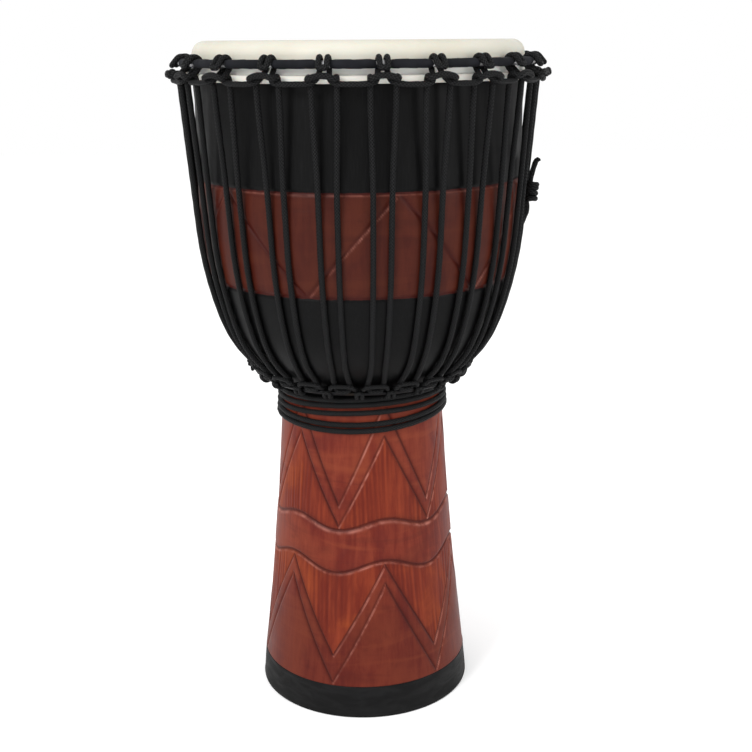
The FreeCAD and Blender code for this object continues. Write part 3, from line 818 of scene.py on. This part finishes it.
class Shader:
    """A node material, built in short steps."""

    def __init__(self, name):
        self.material = bpy.data.materials.new(name)
        self.material.use_nodes = True
        self.nodes = self.material.node_tree.nodes
        self.links = self.material.node_tree.links
        self.surface = self.nodes["Principled BSDF"]

    def add(self, kind, sockets=None, **settings):
        """A node with its properties and its input sockets, each a value or another socket."""
        node = self.nodes.new(kind)
        for key, value in settings.items():
            setattr(node, key, value)
        for key, value in (sockets or {}).items():
            self.feed(node.inputs[key], value)
        return node

    def feed(self, socket, value):
        """Sets a socket's value, or links it."""
        if isinstance(value, bpy.types.NodeSocket):
            self.links.new(value, socket)
        else:
            socket.default_value = value

    def math(self, operation, a, b=0.0, c=0.0):
        """One arithmetic step."""
        node = self.add("ShaderNodeMath", operation=operation)
        for socket, value in zip(node.inputs, (a, b, c)):
            self.feed(socket, value)
        return node.outputs[0]

    def span(self, value, low, high, to_low=0.0, to_high=1.0):
        """Maps a range onto another one, smoothly and clamped."""
        node = self.add("ShaderNodeMapRange", interpolation_type="SMOOTHSTEP")
        for socket, number in zip(node.inputs, (value, low, high, to_low, to_high)):
            self.feed(socket, number)
        return node.outputs[0]

    def mix(self, share, a, b):
        """A blend of two colours."""
        node = self.add("ShaderNodeMix", data_type="RGBA")
        for index, value in ((0, share), (6, a), (7, b)):
            is_colour = isinstance(value, tuple)
            self.feed(node.inputs[index], solid(*value) if is_colour else value)
        return node.outputs[2]

    def noise(self, scale, detail=3.0, roughness=0.55, stretch=(1.0, 1.0, 1.0), warp=0.0):
        """Noise over the object's own space, stretched along its axes."""
        mapping = self.add("ShaderNodeMapping", {"Vector": self.place(), "Scale": stretch})
        sockets = {"Vector": mapping.outputs[0], "Scale": scale, "Detail": detail, "Roughness": roughness,
                   "Distortion": warp}
        return self.add("ShaderNodeTexNoise", sockets).outputs["Fac"]

    def place(self):
        """Position in the object's own space."""
        return self.add("ShaderNodeTexCoord").outputs["Object"]

    def attribute(self, name):
        """A number stored on the mesh."""
        return self.add("ShaderNodeAttribute", attribute_name=name).outputs["Fac"]

    def bump(self, height, distance, strength=1.0, normal=None):
        """A bump from a height, in metres; several can follow each other."""
        sockets = {"Height": height, "Distance": distance, "Strength": strength}
        if normal is not None:
            sockets["Normal"] = normal
        return self.add("ShaderNodeBump", sockets).outputs[0]

    def finish(self, **sockets):
        """Feeds the surface's sockets, named with underscores."""
        for key, value in sockets.items():
            self.feed(self.surface.inputs[key.replace("_", " ")], value)
        return self.material


def solid(r, g, b):
    """An opaque colour."""
    return (r, g, b, 1.0)


def wood_material():
    """Red-stained carved hardwood, with the bowl painted satin black."""
    s = Shader("carved_stained_wood")
    height = s.add("ShaderNodeSeparateXYZ", {"Vector": s.place()}).outputs["Z"]
    ragged = s.math("MULTIPLY_ADD", s.noise(160.0), 1.6 * MM, -0.8 * MM)
    level = s.math("ADD", height, ragged)
    above_band = s.span(level, BAND_TOP + 0.2 * MM, BAND_TOP + 0.9 * MM)
    below_band = s.span(level, BAND_BOTTOM - 0.2 * MM, BAND_BOTTOM - 0.9 * MM)
    above_neck = s.span(level, PAINT_END - 1.0 * MM, PAINT_END + 0.5 * MM)
    paint = s.math("MAXIMUM", above_band, s.math("MULTIPLY", below_band, above_neck))
    inside = s.attribute("inside")
    paint = s.math("MULTIPLY", paint, s.math("SUBTRACT", 1.0, inside))

    grain = s.noise(26.0, 6.0, 0.58, (6.0, 6.0, 0.6), 0.5)
    pores = s.noise(60.0, 3.0, 0.6, (22.0, 22.0, 0.9))
    mottle = s.noise(17.0, 4.0, 0.6, (1.3, 1.3, 1.0), 0.4)
    blotch = s.noise(42.0, 3.0, 0.6, (1.0, 1.0, 1.0), 0.8)
    stain = s.mix(s.span(grain, 0.28, 0.72), (0.094, 0.0108, 0.0066), (0.148, 0.0245, 0.0125))
    stain = s.mix(s.span(mottle, 0.40, 0.66, 0.0, 0.60), stain, (0.168, 0.0330, 0.0150))
    stain = s.mix(s.span(mottle, 0.46, 0.30, 0.0, 0.55), stain, (0.078, 0.0105, 0.0085))
    stain = s.mix(s.span(blotch, 0.56, 0.74, 0.0, 0.35), stain, (0.072, 0.0120, 0.0066))
    stain = s.mix(s.span(pores, 0.62, 0.76, 0.0, 0.30), stain, (0.040, 0.0050, 0.0036))
    brush = s.noise(9.0, 3.0, 0.55, (1.0, 1.0, 7.0), 0.6)
    stain = s.mix(s.span(brush, 0.50, 0.70, 0.0, 0.40), stain, (0.190, 0.0400, 0.0170))
    stain = s.mix(s.span(brush, 0.46, 0.34, 0.0, 0.30), stain, (0.070, 0.0110, 0.0070))
    # painted shade: the stain darkens from the neck up through the band, where less light falls
    painted_shade = s.span(height, 300 * MM, 420 * MM, 0.0, 0.70)
    stain = s.mix(painted_shade, stain, (0.012, 0.0035, 0.0022))
    # painted shade: the stain darkens towards the foot
    stain = s.mix(s.span(height, 150 * MM, 90 * MM, 0.0, 0.38), stain, (0.030, 0.0038, 0.0028))

    gouged = s.attribute("gouged")
    fresh = s.mix(s.span(grain, 0.30, 0.70), (0.112, 0.0135, 0.0060), (0.188, 0.0300, 0.0110))
    fresh = s.mix(s.span(mottle, 0.48, 0.70, 0.0, 0.6), fresh, (0.265, 0.0520, 0.0120))
    strokes = s.span(gouged, 0.30, 0.95)
    fresh = s.mix(s.math("MULTIPLY", strokes, 0.80), fresh, (0.080, 0.0088, 0.0050))
    colour = s.mix(s.span(gouged, 0.05, 0.35, 0.0, 0.85), stain, fresh)
    # painted shade in and beside the carved cuts
    colour = s.mix(s.math("MULTIPLY", s.attribute("groove_shade"), 0.80), colour, (0.032, 0.0040, 0.0032))
    # pale edges: rubbed wood with a painted highlight
    rub_and_highlight = s.math("MULTIPLY", s.attribute("edge"), s.span(s.noise(110.0), 0.34, 0.60, 0.20, 1.0))
    colour = s.mix(s.math("MINIMUM", rub_and_highlight, 0.9), colour, (0.350, 0.130, 0.098))

    raw = s.mix(s.span(grain, 0.3, 0.7), (0.16, 0.070, 0.035), (0.30, 0.150, 0.078))
    colour = s.mix(inside, colour, raw)
    black = s.mix(s.span(pores, 0.45, 0.75), (0.0012, 0.0012, 0.0013), (0.0034, 0.0034, 0.0037))
    colour = s.mix(paint, colour, black)

    rough = s.span(mottle, 0.3, 0.7, 0.36, 0.50)
    rough = s.math("ADD", rough, s.math("MULTIPLY", gouged, 0.16))
    rough = s.math("ADD", rough, s.math("MULTIPLY", inside, 0.30))
    normal = s.bump(grain, 0.25 * MM, 0.45)
    normal = s.bump(pores, 0.12 * MM, 0.35, normal)
    return s.finish(Base_Color=colour, Roughness=rough, Normal=normal, Specular_IOR_Level=0.085)


def rope_material(name, lift):
    """Black braided rope: picks that cross over and under, along the rope's own map.

    lift makes the rope that much lighter.
    """
    s = Shader(name)
    carriers, pick = 6.0, 3.0 * MM
    uv = s.add("ShaderNodeSeparateXYZ", {"Vector": s.add("ShaderNodeUVMap").outputs[0]})
    along = s.math("DIVIDE", uv.outputs["X"], pick)
    around = s.math("MULTIPLY", uv.outputs["Y"], carriers)
    left = s.math("ADD", along, around)
    right = s.math("SUBTRACT", along, around)

    def crown(value):
        offset = s.math("SUBTRACT", s.math("MULTIPLY", s.math("FRACT", value), 2.0), 1.0)
        return s.math("SUBTRACT", 1.0, s.math("MULTIPLY", offset, offset))

    cells = s.math("ADD", s.math("FLOOR", left), s.math("FLOOR", right))
    over = s.math("FLOORED_MODULO", cells, 2.0)
    lay = s.math("ADD", s.math("MULTIPLY", over, crown(left)),
                 s.math("MULTIPLY", s.math("SUBTRACT", 1.0, over), crown(right)))
    light_specks = s.noise(900.0, 2.0)
    # painted shade in the gaps between the picks and a painted highlight on their crowns
    colour = s.mix(s.span(lay, 0.25, 0.95), (0.0003, 0.0003, 0.0003),
                   (0.0125 * lift, 0.0127 * lift, 0.0132 * lift))
    # painted glints: light grey specks over the braid
    colour = s.mix(s.span(light_specks, 0.58, 0.78, 0.0, 0.35), colour, (0.035, 0.035, 0.037))
    normal = s.bump(lay, 0.7 * MM, 1.0)
    normal = s.bump(light_specks, 0.08 * MM, 0.4, normal)
    return s.finish(Base_Color=colour, Roughness=s.span(lay, 0.0, 1.0, 0.80, 0.50), Normal=normal,
                    Specular_IOR_Level=0.07)


def cloth_material():
    """Black cotton strip, a little dusty."""
    s = Shader("black_cotton_strip")
    weave = s.noise(1500.0, 2.0, 0.5)
    patch = s.noise(55.0, 3.0)
    colour = s.mix(s.span(patch, 0.35, 0.70), (0.0042, 0.0045, 0.0060), (0.0088, 0.0092, 0.0118))
    colour = s.mix(s.span(weave, 0.5, 0.8, 0.0, 0.4), colour, (0.018, 0.019, 0.023))
    normal = s.bump(weave, 0.12 * MM, 0.5)
    normal = s.bump(patch, 0.3 * MM, 0.4, normal)
    return s.finish(Base_Color=colour, Roughness=s.span(weave, 0.3, 0.7, 0.72, 0.9), Normal=normal,
                    Specular_IOR_Level=0.12, Sheen_Weight=0.01, Sheen_Roughness=0.5)


def rubber_material():
    """Matte black rubber with faint scuffs."""
    s = Shader("matte_black_rubber")
    fine = s.noise(1400.0, 2.0)
    scuff = s.noise(38.0, 4.0, 0.6, (1.0, 1.0, 3.2), 0.6)
    colour = s.mix(s.span(scuff, 0.35, 0.75), (0.0028, 0.0028, 0.0029), (0.0062, 0.0062, 0.0064))
    normal = s.bump(fine, 0.05 * MM, 0.5)
    normal = s.bump(scuff, 0.25 * MM, 0.3, normal)
    return s.finish(Base_Color=colour, Roughness=s.span(scuff, 0.3, 0.7, 0.66, 0.52), Normal=normal,
                    Specular_IOR_Level=0.11)


def steel_material(name, clean, stained):
    """Bent rod, a little stained."""
    s = Shader(name)
    stain = s.noise(120.0, 4.0, 0.6)
    colour = s.mix(s.span(stain, 0.45, 0.75), clean, stained)
    normal = s.bump(s.noise(700.0), 0.04 * MM, 0.4)
    rough = s.span(stain, 0.3, 0.8, 0.32, 0.6)
    return s.finish(Base_Color=colour, Metallic=1.0, Roughness=rough, Normal=normal)


def skin_material():
    """Shaved goatskin: cream, with follicles and faint veins, brightened by painted light behind the crown
    ring and toned down by painted shade on the fold.
    """
    s = Shader("shaved_goatskin")
    height = s.add("ShaderNodeSeparateXYZ", {"Vector": s.place()}).outputs["Z"]
    cloud = s.noise(11.0, 4.0, 0.55, (1.0, 1.0, 1.0), 0.5)
    vein = s.noise(9.0, 1.0, 0.4, (1.0, 1.0, 1.0), 0.6)
    line = s.math("ABSOLUTE", s.math("SUBTRACT", vein, 0.5))
    follicles = s.add("ShaderNodeTexVoronoi", {"Vector": s.place(), "Scale": 850.0}).outputs["Distance"]
    hair = s.noise(180.0, 3.0, 0.6, (1.0, 7.0, 1.0), 0.8)
    colour = s.mix(s.span(cloud, 0.30, 0.72), (0.560, 0.545, 0.480), (0.495, 0.472, 0.392))
    colour = s.mix(s.span(line, 0.03, 0.0, 0.0, 0.10), colour, (0.44, 0.36, 0.26))
    colour = s.mix(s.span(follicles, 0.30, 0.10, 0.0, 0.12), colour, (0.33, 0.27, 0.19))
    colour = s.mix(s.span(hair, 0.66, 0.80, 0.0, 0.22), colour, (0.36, 0.29, 0.20))
    # painted light: brighter from the rim down behind the crown ring, where the ring shades the skin
    colour = s.mix(s.span(height, 613 * MM, 606 * MM, 0.0, 0.95), colour, (0.900, 0.885, 0.840))
    # painted shade: the fold below is toned back down where it catches the light
    colour = s.mix(s.span(height, 602.4 * MM, 600.2 * MM, 0.0, 0.9), colour, (0.600, 0.580, 0.525))
    normal = s.bump(follicles, 0.06 * MM, 0.4)
    normal = s.bump(cloud, 0.5 * MM, 0.25, normal)
    return s.finish(Base_Color=colour, Roughness=s.span(cloud, 0.3, 0.7, 0.50, 0.64), Normal=normal,
                    Specular_IOR_Level=0.35, Subsurface_Weight=0.12, Subsurface_Scale=2.0 * MM)


# ---------------------------------------------------------------- assembly

ROPE = rope_material("black_braided_rope", 1.0)
LOOP_ROPE = rope_material("black_loop_rope", 1.15)
WOOD = wood_material()
STEEL = steel_material("dull_steel_rod", (0.42, 0.42, 0.43), (0.20, 0.17, 0.15))
BLACK_STEEL = steel_material("blackened_steel_rod", (0.012, 0.012, 0.013), (0.022, 0.018, 0.015))

HITCH_NODES = ["crown_hitch_%02d" % (i + 1) for i in range(HITCHES)]
STRAND_NODES = ["tension_rope_%02d" % (i + 1) for i in range(HITCHES)]


def on_tension(obj, *nodes):
    """A piece of the tension rope, with its material, the nodes that it replaces hidden, and its placing
    baked into its mesh; it rides no body.
    """
    finish_piece(obj, ROPE, "tension_rope", None, *nodes)
    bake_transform(obj)


finish_piece(build_shell(), WOOD, "carved_wood", "shell", "shell")
finish_piece(build_foot_band(), rubber_material(), "foot_rubber", "shell", "foot_band")
finish_piece(build_ring_cloth(), cloth_material(), "ring_cloth", "head", "crown_ring_wrap")

crown_loops = loop_rope("crown_loop_rope", CROWN_RING, CLOTH_RADIUS - SQUEEZE + HEAD_CORD + LOOP_GAP,
                        CROWN_LAYOUT, 1.0, HEAD_CORD, 1.0)
finish_piece(crown_loops, LOOP_ROPE, "loop_rope", "head", *HITCH_NODES)
bottom_loops = loop_rope("bottom_loop_cord", BOTTOM_RING, BOTTOM_ROD + CORD_RADIUS + LOOP_GAP,
                         BOTTOM_LAYOUT, -1.0, CORD_RADIUS, 0.6, shift=0.5)
finish_piece(bottom_loops, LOOP_ROPE, "loop_rope", "shell", "bottom_hitches")
finish_piece(build_neck_rope(), LOOP_ROPE, "loop_rope", "shell", "neck_wrap_upper", "neck_wrap_lower")

on_tension(build_tension_rope(), *STRAND_NODES)
on_tension(build_side_knot(), "side_tie_knot")
on_tension(build_lower_knot(), "lower_tie_knot")

skin = build_skin()
finish_piece(skin, skin_material(), "goatskin", None, "goatskin_head")
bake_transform(skin)

for ring_name in ("crown_ring", "flesh_ring", "bottom_ring"):
    for material_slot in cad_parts[ring_name].material_slots:
        material_slot.material = BLACK_STEEL if ring_name == "bottom_ring" else STEEL


# ---------------------------------------------------------------- camera, light and floor


def add_camera():
    """The view from the front, level with the head and tipped down."""
    data = bpy.data.cameras.new("camera")
    data.sensor_width = 36.0
    data.lens = 58.26
    data.clip_start = 0.02
    obj = bpy.data.objects.new("camera", data)
    bpy.context.scene.collection.objects.link(obj)
    turn = Euler((math.radians(74.63), 0.0, 0.0)).to_matrix() @ Matrix.Rotation(math.radians(-0.445), 3, "Z")
    obj.matrix_world = Matrix.LocRotScale(Vector((0.01373, -1.1434, 0.6264)), turn.to_quaternion(), None)
    bpy.context.scene.camera = obj


def add_light(name, place, target, size, watts):
    """A square soft light that looks at a point."""
    data = bpy.data.lights.new(name, "AREA")
    data.size = size
    data.energy = watts
    obj = bpy.data.objects.new(name, data)
    obj.location = place
    obj.rotation_euler = (Vector(target) - Vector(place)).to_track_quat("-Z", "Y").to_euler()
    bpy.context.scene.collection.objects.link(obj)


def add_floor():
    """A plain white floor."""
    reach = 6.0
    corners = [(-reach, -reach, 0.0), (reach, -reach, 0.0), (reach, reach, 0.0), (-reach, reach, 0.0)]
    floor = new_object("studio_floor", corners, [(0, 1, 2, 3)], smooth=False)
    s = Shader("white_floor")
    floor.data.materials.append(s.finish(
        Base_Color=solid(0.93, 0.93, 0.93), Roughness=0.9, Specular_IOR_Level=0.1,
        Emission_Color=solid(1.0, 1.0, 1.0), Emission_Strength=0.16))


def light_world(strength):
    """Even white surroundings."""
    world = bpy.data.worlds.new("studio")
    bpy.context.scene.world = world
    world.use_nodes = True
    world.node_tree.nodes["Background"].inputs["Color"].default_value = solid(1.0, 1.0, 1.0)
    world.node_tree.nodes["Background"].inputs["Strength"].default_value = strength


add_camera()
add_light("key", (-1.6, -2.1, 1.8), (0.0, 0.0, 0.35), 1.0, 56.0)
add_light("fill", (2.2, -1.5, 1.1), (0.0, 0.0, 0.3), 1.6, 24.0)
add_floor()
light_world(1.0)
bpy.context.scene.view_settings.view_transform = "Standard"
